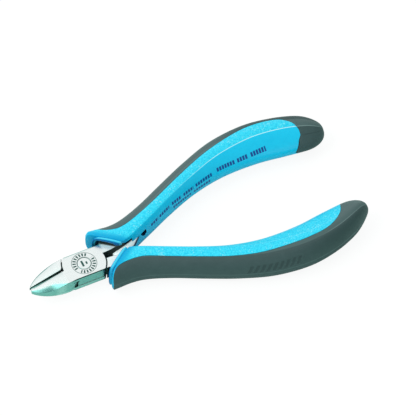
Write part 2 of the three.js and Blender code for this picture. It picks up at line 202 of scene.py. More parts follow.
# Leaf springs
LEAF_THICKNESS = 0.5
LEAF_SECTION = [                 # shares of the half thickness and of the half width
    (-1, 0.86), (-0.55, 1), (0.55, 1), (1, 0.86), (1, -0.86), (0.55, -1), (-0.55, -1), (-1, -0.86),
]
LEAF_HALF_WIDTH = 2.45
LEAF_TIP_HALF_WIDTH = 1.75
LEAF_GROWTH_X = 20.3             # from here the strip widens over the growth length
LEAF_GROWTH_LENGTH = 3
LEAF_TIP = (12.3, 0.4)
LEAF_BEND = (18.6, 1.75)
LEAF_ROOT = (25.6, 4.5)
LEAF_SHARE = 0.95                # the leaf is drawn up to here, its root is buried in the handle
CHANNEL_HALF_HEIGHT = 2.6
CHANNEL_END_LOW_X = 21.4         # the channel's slanted end, at its lower and its upper side
CHANNEL_END_HIGH_X = 24.7
NOTCH_TOP_Z = 4.5                # a notch above the leaf, towards the collar
NOTCH_END_X = 21.0
WINDOW = [(25.2, 2.7), (25.9, 1.2), (26.9, 0.2), (28.1, 1.3), (27.9, 3.1)]


# ---------------------------------------------------------------- helpers

def to_frame(x, y, z):
    """A point in millimetres about the head's middle plane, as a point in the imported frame."""
    return Vector((x * MM, y * MM, z * MM + MIDDLE_Z))


def smoothstep(value):
    value = min(max(value, 0.0), 1.0)
    return value * value * (3 - 2 * value)


def catmull_rom(values, t):
    """Uniform Catmull-Rom spline through values, t from 0 to 1."""
    last = len(values) - 1
    place = t * last
    i = min(int(place), last - 1)
    w = place - i
    p0 = values[max(i - 1, 0)]
    p1 = values[i]
    p2 = values[i + 1]
    p3 = values[min(i + 2, last)]
    v0 = (p2 - p0) / 2
    v1 = (p3 - p1) / 2
    cubic = 2 * p1 - 2 * p2 + v0 + v1
    square = -3 * p1 + 3 * p2 - 2 * v0 - v1
    return cubic * w ** 3 + square * w ** 2 + v0 * w + p1


def sampled(rows, count):
    """Spline samples through rows of numbers, as a list of tuples."""
    columns = list(zip(*rows))
    return [tuple(catmull_rom(column, i / count) for column in columns) for i in range(count + 1)]


def look_up(samples, x):
    """Linear interpolation in samples sorted by their first number."""
    low = 0
    high = len(samples) - 1
    while high - low > 1:
        middle = (low + high) // 2
        if samples[middle][0] <= x:
            low = middle
        else:
            high = middle
    a = samples[low]
    b = samples[high]
    w = min(max((x - a[0]) / (b[0] - a[0]), 0.0), 1.0)
    return tuple(p + (q - p) * w for p, q in zip(a, b))


def link(name, mesh):
    obj = bpy.data.objects.new(name, mesh)
    bpy.context.scene.collection.objects.link(obj)
    return obj


def mesh_from(name, points, faces, marks=None):
    """A mesh object from frame points and faces, with outward normals. marks are kept as a UV map."""
    mesh = bpy.data.meshes.new(name)
    mesh.from_pydata([tuple(p) for p in points], [], faces)
    layer = mesh.uv_layers.new(name="place", do_init=False)
    if marks:
        for loop in mesh.loops:
            layer.data[loop.index].uv = marks[loop.vertex_index]
    bm = bmesh.new()
    bm.from_mesh(mesh)
    bmesh.ops.remove_doubles(bm, verts=bm.verts, dist=1e-7)
    bmesh.ops.dissolve_degenerate(bm, edges=bm.edges, dist=1e-8)
    bmesh.ops.recalc_face_normals(bm, faces=bm.faces)
    bm.to_mesh(mesh)
    bm.free()
    return link(name, mesh)


def loft(name, rings, marks=None):
    """A skin over rings of millimetre points, all with the same count, closed by caps."""
    count = len(rings[0])
    points = [to_frame(*p) for ring in rings for p in ring]
    faces = []
    for row in range(len(rings) - 1):
        for column in range(count):
            following = (column + 1) % count
            a = row * count
            b = a + count
            faces.append((a + column, a + following, b + following, b + column))
    faces.append(tuple(range(count)))
    start = (len(rings) - 1) * count
    faces.append(tuple(reversed(range(start, start + count))))
    return mesh_from(name, points, faces, marks)


def prism(name, outline, bottom, top):
    """An upright block with a plan outline in millimetres."""
    return loft(name, [[(x, y, bottom) for x, y in outline], [(x, y, top) for x, y in outline]])


def disc(name, radius, half_height, count=128):
    turn = 2 * math.pi / count
    outline = [(radius * math.cos(i * turn), radius * math.sin(i * turn)) for i in range(count)]
    return prism(name, outline, -half_height, half_height)


def rectangle(x0, x1, y0, y1):
    return [(x0, y0), (x1, y0), (x1, y1), (x0, y1)]


def sided(outline, side):
    return [(x, side * y) for x, y in outline]


def combine(base, tools):
    """Applies (operation, object) pairs to base by exact booleans and removes the tools."""
    for operation, tool in tools:
        modifier = base.modifiers.new("combine", "BOOLEAN")
        modifier.operation = operation
        modifier.solver = "EXACT"
        modifier.object = tool
    bpy.context.view_layer.update()
    graph = bpy.context.evaluated_depsgraph_get()
    result = bpy.data.meshes.new_from_object(base.evaluated_get(graph))
    base.modifiers.clear()
    base.data = result
    for _, tool in tools:
        bpy.data.objects.remove(tool, do_unlink=True)
    return base


def shade(obj, sharp_angle):
    """Smooth shading with edges kept sharp over an angle in degrees."""
    obj.data.shade_smooth()
    obj.data.set_sharp_from_angle(angle=math.radians(sharp_angle))
    return obj


def finish_piece(obj, node, material, body):
    """Gives a piece its material and its body if it rides on one, and hides the CAD node it replaces."""
    obj.data.materials.clear()
    obj.data.materials.append(material)
    if body:
        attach(obj, body)
    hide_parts(node)


# ---------------------------------------------------------------- handle form

STATION_SAMPLES = {side: sampled(COLLAR_STATIONS[side] + GRIP_STATIONS[side], 440) for side in (1, -1)}


def seam_samples(side):
    """The seam up to its furthest x, where it turns in across the tail."""
    samples = sampled(SEAMS[side], 700)
    furthest = max(range(len(samples)), key=lambda i: samples[i][0])
    return samples[:furthest + 1]


SEAM_SAMPLES = {side: seam_samples(side) for side in (1, -1)}
SEAM_START_X = {
    side: next(x for x, y in SEAM_SAMPLES[side] if y < look_up(STATION_SAMPLES[side], x)[4])
    for side in (1, -1)
}


def half_section(station, c):
    """(y, z) on the upper half of the section at c from 0, the inner ridge, to 1, the outer side."""
    _, ridge, inner, outer, side, half = station
    crease_z = half - CREASE_DROP
    if c < INNER_CREASE:
        angle = c / INNER_CREASE * INNER_ARC
        y = ridge + (inner - ridge) * (1 - math.cos(angle)) / (1 - math.cos(INNER_ARC))
        return y, crease_z * math.sin(angle) / math.sin(INNER_ARC)
    if c < OUTER_CREASE:
        part = (c - INNER_CREASE) / (OUTER_CREASE - INNER_CREASE)
        return inner + (outer - inner) * part, crease_z + CREASE_DROP * math.sin(math.pi * part)
    angle = (c - OUTER_CREASE) / (1 - OUTER_CREASE) * math.pi / 2
    reach = math.sin(angle) ** (2 / OUTER_FULLNESS)
    height = max(math.cos(angle), 0.0) ** (2 / OUTER_FULLNESS)
    return outer + (side - outer) * reach, crease_z * height


def section(station, c):
    """The section with its creases softly rounded. Negative c is the lower half."""
    taps = (-1.0, -0.5, 0.0, 0.5, 1.0)
    y_sum = 0.0
    z_sum = 0.0
    for tap in taps:
        place = abs(c) + tap * CREASE_SOFTNESS
        flip = 1.0
        if place < 0:
            place = -place
            flip = -1.0
        if place > 1:
            place = 2 - place
            flip = -1.0
        y, z = half_section(station, place)
        y_sum += y
        z_sum += z * flip
    z_mean = z_sum / len(taps)
    return y_sum / len(taps), z_mean if c >= 0 else -z_mean


def handle_point(side, x, c, inset=0.0):
    """A point of the skin, its y as a distance from the X axis, moved in by inset towards the middle."""
    station = look_up(STATION_SAMPLES[side], x)
    y, z = section(station, c)
    _, ridge, _, _, side, half = station
    middle = (ridge + side) / 2
    y = middle + (y - middle) * (1 - inset / ((side - ridge) / 2))
    z = z * (1 - inset / half)
    if x > TAIL_START_X:
        reach = min((x - TAIL_START_X) / (TAIL_END_X - TAIL_START_X), 1.0)
        roundness = (1 - reach ** TAIL_BLUNTNESS) ** (1 / TAIL_BLUNTNESS)
        y = TAIL_AXIS_Y + (y - TAIL_AXIS_Y) * roundness
        z = z * roundness
    return x, y, z


def corner_depth(along):
    """How far the collar's outer corner is rounded back at a place along the front plane."""
    part = (CORNER_START - along) / (CORNER_START - CORNER_END)
    if part <= 0:
        return 0.0
    if part >= 1:
        return 1e6
    return CORNER_DEPTH * (1 - math.sqrt(1 - part * part))


def drawn_in(side, y, share):
    """Pulls the outer part of the collar in to the lip's reach, by a share from 0 to 1."""
    over = y - LIP_STRAIGHT
    if over <= 0:
        return y
    kept = LIP_SHARES[side]
    reach = kept * over + (1 - kept) * LIP_BLEND * math.tanh(over / LIP_BLEND)
    return y - share * (over - reach)


def front_point(side, c, behind, inset, setback, rounded):
    """The point of the skin at c that lies a given distance behind the collar's front."""
    low = 0.0
    high = 34.0
    for _ in range(34):
        x = (low + high) / 2
        _, y, z = handle_point(side, x, c, inset)
        y = drawn_in(side, y, setback)
        along = FRONT_NORMAL[1] * x - FRONT_NORMAL[0] * y
        offset = FRONT_NORMAL[0] * x + FRONT_NORMAL[1] * y
        if offset < FRONT_OFFSETS[side] + behind + (corner_depth(along) if rounded else 0.0):
            low = x
        else:
            high = x
    return x, y, z


def seam_place(side, x):
    """The c of the seam between core and grip at x: 1 before the grip starts, 0 where it closes the tail."""
    if x <= SEAM_START_X[side]:
        return 1.0
    if x >= SEAM_SAMPLES[side][-1][0]:
        return 0.0
    _, seam_y = look_up(SEAM_SAMPLES[side], x)
    low = 0.0
    high = 1.0
    for _ in range(30):
        c = (low + high) / 2
        if handle_point(side, x, c)[1] < seam_y:
            low = c
        else:
            high = c
    return (low + high) / 2


# Rings from the floor of the recess out over the lip and the groove:
# (distance behind the collar's front, inset, share of the lip's set-back, share of the corner's rounding)
COLLAR_PROFILE = [
    (3.2, 4.4, 1, 0), (3.2, 3.6, 1, 0), (3.2, 3.0, 1, 0), (3.0, 2.75, 1, 0), (2.4, 2.65, 1, 0),
    (1.2, 2.5, 1, 0), (0.75, 2.25, 1, 0), (0.45, 1.85, 1, 0), (0.2, 1.4, 1, 0), (0.05, 1.0, 1, 0),
    (0.02, 0.65, 1, 0),
    (0.12, 0.34, 1, 0), (0.32, 0.12, 1, 0), (0.6, 0.0, 1, 0), (0.85, 0.03, 1, 0), (1.1, 0.16, 1, 0),
    (1.32, 0.36, 1, 0), (1.48, 0.43, 0.98, 0), (1.55, 0.42, 0.8, 0.1), (1.62, 0.34, 0.55, 0.3),
    (1.72, 0.22, 0.3, 0.6), (1.95, 0.1, 0.12, 0.85), (2.3, 0.02, 0.03, 1), (2.7, 0.0, 0, 1),
]
RECESS_RINGS = 7
# RECESS_MARK shifts the place marks of the recess rings, so the core material paints shade over them
RECESS_MARK = 5.0
BODY_ROWS = 170
CREASE_STEPS = (-0.03, -0.02, -0.013, -0.0065, 0.0, 0.0065, 0.013, 0.02, 0.03)


def skin_places():
    """Places of the mesh columns on the half section, close together round the creases."""
    places = [i / 26 * (INNER_CREASE - 0.045) for i in range(27)]
    places += [INNER_CREASE + step for step in CREASE_STEPS]
    places += [0.4 + i * 0.024 for i in range(6)]
    places += [OUTER_CREASE + step for step in CREASE_STEPS]
    places += [0.605 + (1 - 0.605) * i / 20 for i in range(21)]
    return places


def core_mesh(name, side):
    """The hard core before the grip's bed is cut: collar with recess, lip and groove, then the skin."""
    places = skin_places()

    def ring(behind, inset, setback, rounded):
        points = []
        for c in places:
            plain = front_point(side, c, behind, inset, setback, False)
            if rounded:
                bent = front_point(side, c, behind, inset, setback, True)
                plain = tuple(p + (q - p) * rounded for p, q in zip(plain, bent))
            points.append(plain)
        return points

    end_x = SEAM_SAMPLES[side][-1][0] + 1.2
    halves = [ring(*row) for row in COLLAR_PROFILE]
    start = [point[0] for point in halves[-1]]
    for row in range(1, BODY_ROWS + 1):
        part = row / BODY_ROWS
        halves.append([handle_point(side, x0 + (end_x - x0) * part, c) for x0, c in zip(start, places)])
    rings = []
    marks = []
    for index, half in enumerate(halves):
        lower = [(x, y, -z) for x, y, z in reversed(half[1:-1])]
        rings.append([(x, side * y, z) for x, y, z in half + lower])
        mark = RECESS_MARK if index < RECESS_RINGS else 0.0
        marks += [(c + mark, point[0] / 100) for c, point in zip(places, half)]
        marks += [(-c + 2 * mark, point[0] / 100) for c, point in zip(reversed(places[1:-1]), lower)]
    return loft(name, rings, marks)


GRIP_HALF_COLUMNS = 22


def swept_back(side, x, c):
    """x of a row of the grip at c, moved back towards the head near the inner ridge of the tail."""
    close_x = SEAM_SAMPLES[side][-1][0]
    if x <= close_x:
        fade = smoothstep(1 - (close_x - x) / 7)
    else:
        fade = 1 - smoothstep((x - close_x) / (TAIL_END_X - close_x))
    part = max(0.0, 1 - c / SWEEP_START)
    return x - TAIL_SWEEP[side] * fade * part ** 1.35


def grip_rows(side):
    """x of the grip's rows: the open shell, then the closed tail."""
    first = SEAM_START_X[side]
    shell = [first + step for step in (0.02, 0.08, 0.18, 0.32, 0.5, 0.75, 1.05, 1.4, 1.8, 2.3, 2.9)]
    close_x = SEAM_SAMPLES[side][-1][0]
    reach = close_x - 0.4 - shell[-1]
    shell += [shell[-1] + reach * i / 130 for i in range(1, 131)]
    shell += [close_x - gap for gap in (0.25, 0.12, 0.04, 0.0)]
    tail = []
    for i in range(1, 31):
        turn = i / 30 * math.pi / 2
        tail.append(close_x + (TAIL_END_X - close_x) * math.sin(turn) ** 0.85)
    return shell, tail


def grip_mesh(name, side, skin=0.0, bed=GRIP_DEPTH - 0.08, edge_shift=SEAM_GAP, rolled=True):
    """The soft grip: a shell over the core's outer side that closes into a solid tail.

    The bed that the core leaves for it is the same form with a proud skin and no rolled edge.
    """
    shell, tail = grip_rows(side)
    rows = shell + tail
    parts = [0.0, 0.012, 0.03, 0.06] + [i / GRIP_HALF_COLUMNS for i in range(2, GRIP_HALF_COLUMNS + 1)]
    roll = (0.2, 0.07, 0.015) if rolled else (0.0, 0.0, 0.0)
    points = []
    marks = []
    faces = []

    def ring(x, inset, is_open):
        seam = seam_place(side, x)
        station = look_up(STATION_SAMPLES[side], x)
        shift = edge_shift / (station[4] - station[1]) if is_open else 0.0
        upper = []
        for k, part in enumerate(parts):
            rounding = roll[k] if is_open and k < len(roll) else 0.0
            c = min(max(seam + shift + part * (1 - seam - shift), 0.0), 1.0)
            upper.append(handle_point(side, swept_back(side, x, c), c, inset + rounding))
            marks.append((c, x / 100))
        marks.extend([(-u, v) for u, v in reversed(marks[-len(parts):-1])])
        lower = [(px, py, -pz) for px, py, pz in upper[:-1]]
        return upper + list(reversed(lower))

    width = 2 * len(parts) - 1
    for row, x in enumerate(rows):
        points += ring(x, skin, row < len(shell) - 1)
    for row in range(len(rows) - 1):
        for k in range(width - 1):
            a = row * width + k
            faces.append((a, a + 1, a + width + 1, a + width))
    inner_start = len(points)
    for row, x in enumerate(shell):
        points += ring(x, bed, row < len(shell) - 1)
    for row in range(len(shell) - 1):
        for k in range(width - 1):
            a = inner_start + row * width + k
            faces.append((a, a + width, a + width + 1, a + 1))
        for k in (0, width - 1):
            a = row * width + k
            b = inner_start + a
            faces.append((a, a + width, b + width, b))
    for k in range(width - 1):
        faces.append((k, inner_start + k, inner_start + k + 1, k + 1))
    last_inner = inner_start + (len(shell) - 1) * width
    faces.append(tuple(range(last_inner, last_inner + width)))
    placed = [to_frame(x, side * y, z) for x, y, z in points]
    return mesh_from(name, placed, faces, marks)


def channel_cutters(side):
    """The open channel for the leaf spring with its notch, and the window beyond its end."""
    z = CHANNEL_HALF_HEIGHT
    end = [(10, -z), (CHANNEL_END_LOW_X, -z), (CHANNEL_END_HIGH_X, z), (10, z)]
    notch = [(9.6, 0), (NOTCH_END_X, 0), (NOTCH_END_X, NOTCH_TOP_Z), (9.6, NOTCH_TOP_Z)]
    openings = [
        ("channel_cutter", end, -1.0, 5.0),
        ("notch_cutter", notch, -1.4, 3.4),
        ("window_cutter", WINDOW, 1.2, 5.6),
    ]
    cutters = []
    for name, outline, y_start, y_end in openings:
        rings = [[(x, side * y, wz) for x, wz in outline] for y in (y_start, y_end)]
        cutters.append(("DIFFERENCE", loft(name, rings)))
    return cutters


# ---------------------------------------------------------------- steel

def arc(radius, start, end, count):
    """Points on a circle round the joint's axis, angles in radians."""
    return [(radius * math.cos(start + (end - start) * i / count),
             radius * math.sin(start + (end - start) * i / count)) for i in range(count + 1)]


def band_disc(radius, half_width):
    """A disc outline cut off by two lines parallel to X."""
    lean = math.asin(half_width / radius)
    return arc(radius, -lean, lean, 40) + arc(radius, math.pi - lean, math.pi + lean, 40)


def jaw_half_width(x):
    """How far a jaw's outer side lies from the jaws' middle line: a bezier from the tip to the box."""
    low = 0.0
    high = 1.0
    knots = (
        (TIP_X, TIP_EDGE_Y + TIP_WIDTH), (-21.4, 2.5), (-16.8, HEAD_HALF_WIDTH), (FULL_X, HEAD_HALF_WIDTH),
    )

    def point(s):
        weights = ((1 - s) ** 3, 3 * s * (1 - s) ** 2, 3 * s * s * (1 - s), s ** 3)
        return [sum(w * k[axis] for w, k in zip(weights, knots)) for axis in (0, 1)]

    for _ in range(30):
        s = (low + high) / 2
        if point(s)[0] < x:
            low = s
        else:
            high = s
    return point((low + high) / 2)[1]


def jaw_ring(x, side):
    """A jaw's section: flat upper face, shallow bevel, steep flank and a ground-back lower edge."""
    toward_tip = min(max((x - ROOT_X) / (TIP_X - ROOT_X), 0.0), 1.0)
    shift = SLIT_SHIFT_THROAT + (SLIT_SHIFT_TIP - SLIT_SHIFT_THROAT) * toward_tip
    edge = THROAT_EDGE_Y + (TIP_EDGE_Y - THROAT_EDGE_Y) * toward_tip + side * shift
    width = jaw_half_width(min(x, FULL_X))
    taper = min(max((x - FULL_X) / (TIP_X - FULL_X), 0.0), 1.0)
    top = HEAD_HALF_THICKNESS + (TIP_TOP_Z - HEAD_HALF_THICKNESS) * taper
    low = HEAD_HALF_THICKNESS + (TIP_LOW_Z - HEAD_HALF_THICKNESS) * taper ** 2.2
    flat = width - (width - edge) * BEVEL_SHARES[side] * smoothstep(toward_tip * 1.9)
    shoulder = top * (1 - SHOULDER_DROP * BEVEL_SHARES[side] * smoothstep(toward_tip * 1.7))
    points = [(edge, top * 0.55), (edge + 0.02, top - 0.03), (edge + 0.12, top)]
    points.append((edge + (flat - edge) * 0.5, top))
    steps = 8
    for i in range(steps + 1):
        part = i / steps
        points.append((flat + (width - flat) * part, top + (shoulder - top) * part ** 1.5))
    for i in range(1, steps + 1):
        turn = i / steps * math.pi / 2
        reach = 1 - SIDE_TUCK * toward_tip * (1 - math.cos(turn))
        points.append((width * reach, shoulder + (-low * 0.8 - shoulder) * math.sin(turn) ** 1.3))
    belly = width * (1 - SIDE_TUCK * toward_tip)
    points.append((belly - (belly - edge) * 0.14, -low * 0.95))
    points.append((belly - (belly - edge) * 0.3, -low))
    points.append((edge + (flat - edge) * 0.6, -low))
    points.append((edge + 0.25 + 0.3 * (flat - edge), -low * 0.98))
    return [(x, side * y, z) for y, z in points]


def jaw(name, side):
    """A jaw as a loft from inside the box to the tip, turned about the joint more and more."""
    stations = [-5.6, -7.0, ROOT_X] + [ROOT_X + (TIP_X - ROOT_X) * (i / 36) for i in range(1, 37)]
    rings = [jaw_ring(x, side) for x in stations]
    turned = []
    for ring in rings:
        turn = JAW_TURN * smoothstep((TURN_START_X - ring[0][0]) / (TURN_START_X - TURN_END_X))
        turned.append([(x * math.cos(turn) - y * math.sin(turn), x * math.sin(turn) + y * math.cos(turn), z)
                       for x, y, z in ring])
    return loft(name, turned)


def shank(name, side):
    """The full-thickness shank, curving from the head into the collar."""
    inner = [(6.0, 1.35), (9.0, 1.38), (11.5, 1.5), (14.8, 2.05), (18.2, 2.9)]
    outer = [
        (18.2, 5.2), (13.2, 9.0), (11.6, 8.9), (10.3, 8.1), (9.4, 6.9), (8.7, 6.0), (7.9, HEAD_HALF_WIDTH),
        (5.0, HEAD_HALF_WIDTH),
    ]
    smooth_outer = [outer[0], outer[1]] + [p for p in sampled(outer[2:], 24)]
    return prism(name, sided(inner + smooth_outer, side), -HEAD_HALF_THICKNESS, HEAD_HALF_THICKNESS)


def comma_cutter():
    """A comma-shaped notch at the front of the joint, on the side of the slotted half's jaw."""
    return loft("comma_gap", [[(x, y, z) for x, z in COMMA_GAP] for y in (-4.4, -7.0)])


def slotted_half():
    outline = band_disc(PLATE_RADIUS, HEAD_HALF_WIDTH)
    plates = prism("slotted_half_steel", outline, -HEAD_HALF_THICKNESS, HEAD_HALF_THICKNESS)
    z = SLOT_HALF_HEIGHT
    return combine(plates, [
        ("UNION", jaw("jaw_a", -1)),
        ("UNION", shank("shank_a", 1)),
        ("DIFFERENCE", disc("slot_disc", SLOT_RADIUS, z)),
        ("DIFFERENCE", prism("slot_front", rectangle(-11, 0.01, -0.4, 8), -z, z)),
        ("DIFFERENCE", prism("slot_rear", rectangle(-0.01, 11, -8, 0.4), -z, z)),
        ("DIFFERENCE", comma_cutter()),
        ("DIFFERENCE", disc("pin_bore", PIN_RADIUS + PIN_GAP, 9)),
    ])


def inserted_half():
    z = WEB_HALF_HEIGHT
    web = band_disc(WEB_RADIUS, WEB_HALF_WIDTH)
    return combine(jaw("inserted_half_steel", 1), [
        ("UNION", shank("shank_b", -1)),
        ("DIFFERENCE", disc("shoulder_cut", SHOULDER_RADIUS, 9)),
        ("DIFFERENCE", prism("throat_notch", THROAT_NOTCH, WEB_HALF_HEIGHT, 9)),
        ("UNION", prism("web", web, -z, z)),
        ("UNION", prism("front_bridge", rectangle(-10, -6, THROAT_EDGE_Y, 5.2), -z, z)),
        ("UNION", prism("rear_bridge", rectangle(6, 10, -5.2, -1.36), -z, z)),
        ("DIFFERENCE", comma_cutter()),
        ("DIFFERENCE", disc("pin_bore", PIN_RADIUS + PIN_GAP, 9)),
    ])


def pin():
    """The pivot pin: a plain shaft with slightly broken end edges."""
    chamfer = 0.08
    profile = [(PIN_RADIUS - chamfer, -PIN_HALF_LENGTH), (PIN_RADIUS, -PIN_HALF_LENGTH + chamfer),
               (PIN_RADIUS, PIN_HALF_LENGTH - chamfer), (PIN_RADIUS - chamfer, PIN_HALF_LENGTH)]
    turn = 2 * math.pi / 96
    rings = [[(r * math.cos(i * turn), r * math.sin(i * turn), z) for i in range(96)] for r, z in profile]
    return loft("pivot_pin_steel", rings)


def leaf(name, side):
    """A strip along a quadratic bezier with rounded long edges, in close sections."""
    axes = list(zip(LEAF_TIP, LEAF_BEND, LEAF_ROOT))
    count = 48
    half = LEAF_THICKNESS / 2
    rings = []
    for i in range(count + 1):
        s = LEAF_SHARE * i / count
        x, y = [(1 - s) ** 2 * a + 2 * s * (1 - s) * b + s * s * c for a, b, c in axes]
        dx, dy = [2 * (1 - s) * (b - a) + 2 * s * (c - b) for a, b, c in axes]
        size = math.hypot(dx, dy)
        growth = smoothstep((x - LEAF_GROWTH_X) / LEAF_GROWTH_LENGTH)
        wide = LEAF_TIP_HALF_WIDTH + (LEAF_HALF_WIDTH - LEAF_TIP_HALF_WIDTH) * growth
        nx = -dy / size
        ny = dx / size
        ring = []
        for off, z in LEAF_SECTION:
            height = wide * (1 if abs(z) == 1 else 0.94) * (1 if z > 0 else -1)
            ring.append((x + nx * half * off, side * (y + ny * half * off), height))
        rings.append(ring)
    return loft(name, rings)


# ---------------------------------------------------------------- materials

class Nodes:
    """A small helper to write node trees in a few lines."""

    def __init__(self, tree):
        self.tree = tree
        tree.nodes.clear()

    def add(self, kind, inputs=None, **settings):
        node = self.tree.nodes.new(kind)
        for key, value in settings.items():
            setattr(node, key, value)
        for key, value in (inputs or {}).items():
            if isinstance(value, bpy.types.NodeSocket):
                self.tree.links.new(value, node.inputs[key])
            else:
                node.inputs[key].default_value = value
        return node

    def math(self, operation, a, b=0.0, c=0.0):
        return self.add("ShaderNodeMath", {0: a, 1: b, 2: c}, operation=operation).outputs[0]

    def times(self, a, b):
        return self.math("MULTIPLY", a, b)

    def most(self, a, b):
        """The larger of two values."""
        return self.math("MAXIMUM", a, b)

    def size(self, value):
        """The value without its sign."""
        return self.math("ABSOLUTE", value)

    def ramp(self, value, low, high):
        """0 below low, 1 above high, smooth between."""
        return self.add("ShaderNodeMapRange", {"Value": value, "From Min": low, "From Max": high},
                        interpolation_type="SMOOTHSTEP").outputs[0]

    def fall(self, value, low, high):
        """1 below low, 0 above high, smooth between."""
        return self.math("SUBTRACT", 1.0, self.ramp(value, low, high))

    def mix(self, factor, a, b):
        node = self.add("ShaderNodeMix", data_type="RGBA")
        for socket, value in ((node.inputs[0], factor), (node.inputs[6], a), (node.inputs[7], b)):
            if isinstance(value, bpy.types.NodeSocket):
                self.tree.links.new(value, socket)
            else:
                socket.default_value = value
        return node.outputs[2]

    def tint(self, colour, mask, share, target):
        """The colour moved towards a target by a share where the mask is 1."""
        return self.mix(self.times(mask, share), colour, target)

    def noise(self, vector, scale, detail=3.0, roughness=0.5):
        return self.add("ShaderNodeTexNoise", {"Vector": vector, "Scale": scale, "Detail": detail,
                                               "Roughness": roughness}).outputs[0]

    def band(self, value, centre, half_width, softness):
        """1 inside a band about centre, 0 outside."""
        distance = self.size(self.math("SUBTRACT", value, centre))
        return self.fall(distance, half_width - softness, half_width + softness)


def srgb(red, green, blue):
    """A display colour as the linear colour the shaders use."""
    def linear(value):
        value = value / 255
        return value / 12.92 if value <= 0.04045 else ((value + 0.055) / 1.055) ** 2.4
    return linear(red), linear(green), linear(blue), 1.0


def new_material(name):
    material = bpy.data.materials.new(name)
    material.use_nodes = True
    return material, Nodes(material.node_tree)


def place_nodes(n):
    """Object position in millimetres, split into x, y and z, and the plain vector in millimetres."""
    coordinate = n.add("ShaderNodeTexCoord").outputs["Object"]
    scaled = n.add("ShaderNodeVectorMath", {0: coordinate, "Scale": 1 / MM}, operation="SCALE").outputs[0]
    split = n.add("ShaderNodeSeparateXYZ", {0: scaled})
    middle_z = n.math("SUBTRACT", split.outputs[2], MIDDLE_Z / MM)
    return scaled, split.outputs[0], split.outputs[1], middle_z


def normal_parts(n):
    """The surface's normal in the piece's own frame, split into x, y and z."""
    normal = n.add("ShaderNodeTexCoord").outputs["Normal"]
    return n.add("ShaderNodeSeparateXYZ", {0: normal}).outputs


def output(n, shader):
    n.add("ShaderNodeOutputMaterial", {"Surface": shader})


def handle_marks(n):
    """The UV map of a handle: place on the section (signed, upper half positive) and x in millimetres."""
    split = n.add("ShaderNodeSeparateXYZ", {0: n.add("ShaderNodeUVMap", uv_map="place").outputs[0]})
    return split.outputs[0], n.times(split.outputs[1], 100)


def core_material(name, side, printed):
    """Hard blue plastic: grain with painted sparkle glints on the broad faces, smooth on the inner faces and
    the collar, with painted highlights on the lip and the inner crease and painted shade on the collar's
    front, the recess and the cut hollows.
    """
    material, n = new_material(name)
    vector, x, y, z = place_nodes(n)
    place, along = handle_marks(n)
    share = n.size(place)
    front = n.math("ADD", n.times(x, FRONT_NORMAL[0]), n.times(n.size(y), FRONT_NORMAL[1]))
    front = n.math("SUBTRACT", front, FRONT_OFFSETS[side])
    behind_collar = n.ramp(front, 2.4, 4.2)
    first_grain = INNER_CREASE if printed else INNER_CREASE - 0.16
    on_face = n.ramp(share, first_grain - 0.012, first_grain + 0.004)
    grained = n.times(on_face, behind_collar)

    fine = n.ramp(n.noise(vector, 1.7, 3.0, 0.75), 0.36, 0.64)
    mottle = n.noise(vector, 0.28, 3.0, 0.55)
    cells = n.add("ShaderNodeTexVoronoi", {"Vector": vector, "Scale": 2.3}).outputs["Color"]
    cell_value = n.add("ShaderNodeSeparateColor", {0: cells}).outputs[0]
    # painted glints: pale speckles in the grain where the cells and the mottle are high
    sparkle = n.times(n.ramp(cell_value, 0.78, 0.98), n.ramp(mottle, 0.38, 0.62))
    smooth = n.mix(mottle, srgb(10, 190, 232), srgb(20, 204, 242))
    broad = n.mix(fine, srgb(12, 198, 234), srgb(58, 224, 250))
    broad = n.tint(broad, sparkle, 0.5, srgb(168, 240, 250))
    colour = n.mix(grained, smooth, broad)
    # painted shade: the collar's outer faces darken to deep blue towards the front
    skirt_shade = n.fall(front, 1.2, 5.2)
    skirt_shade = n.times(skirt_shade, n.ramp(share, INNER_CREASE - 0.2, INNER_CREASE))
    colour = n.tint(colour, skirt_shade, 0.9, srgb(6, 158, 208))
    # painted highlight: a bright cyan band along the top of the lip
    lip_highlight = n.band(front, 0.75, 0.35, 0.3)
    colour = n.tint(colour, lip_highlight, 0.8, srgb(90, 226, 252))
    # painted shade: the lip's front face darkens to deep blue
    brow_shade = n.fall(front, 0.0, 0.5)
    colour = n.tint(colour, brow_shade, 0.8, srgb(6, 84, 158))

    # painted highlight: a thin near-white line along the inner crease, faint on the lower handle
    crease_highlight = n.times(n.band(share, INNER_CREASE, 0.0035, 0.003), n.ramp(along, 40, 66))
    colour = n.tint(colour, crease_highlight, 0.85 if printed else 0.15, srgb(220, 252, 255))
    if printed:
        colour = printed_marks(n, place, along, z, colour)
    # painted shade: the recess rings and the faces cut by the channel, notch and window cutters, which carry
    # no place along the handle, go dark navy
    hollow_shade = n.most(n.ramp(share, 1.5, 4.5), n.fall(along, 0.3, 0.6))
    colour = n.tint(colour, hollow_shade, 0.94, srgb(4, 26, 66))

    shine = n.add("ShaderNodeMapRange", {"Value": skirt_shade, "To Min": 0.3, "To Max": 0.12}).outputs[0]
    roughness = n.add("ShaderNodeMapRange", {"Value": grained, "To Min": 0.3, "To Max": 0.5}).outputs[0]
    height = n.math("ADD", n.times(fine, 0.6), n.times(cell_value, 0.4))
    strength = n.add("ShaderNodeMapRange", {"Value": grained, "To Min": 0.04, "To Max": 0.3}).outputs[0]
    bump = n.add("ShaderNodeBump", {"Height": height, "Strength": strength, "Distance": 0.08 * MM})
    shader = n.add("ShaderNodeBsdfPrincipled", {
        "Base Color": colour, "Roughness": roughness, "Specular IOR Level": shine,
        "Coat Weight": 0.04, "Coat Roughness": 0.3, "Normal": bump.outputs[0]})
    output(n, shader.outputs[0])
    return material


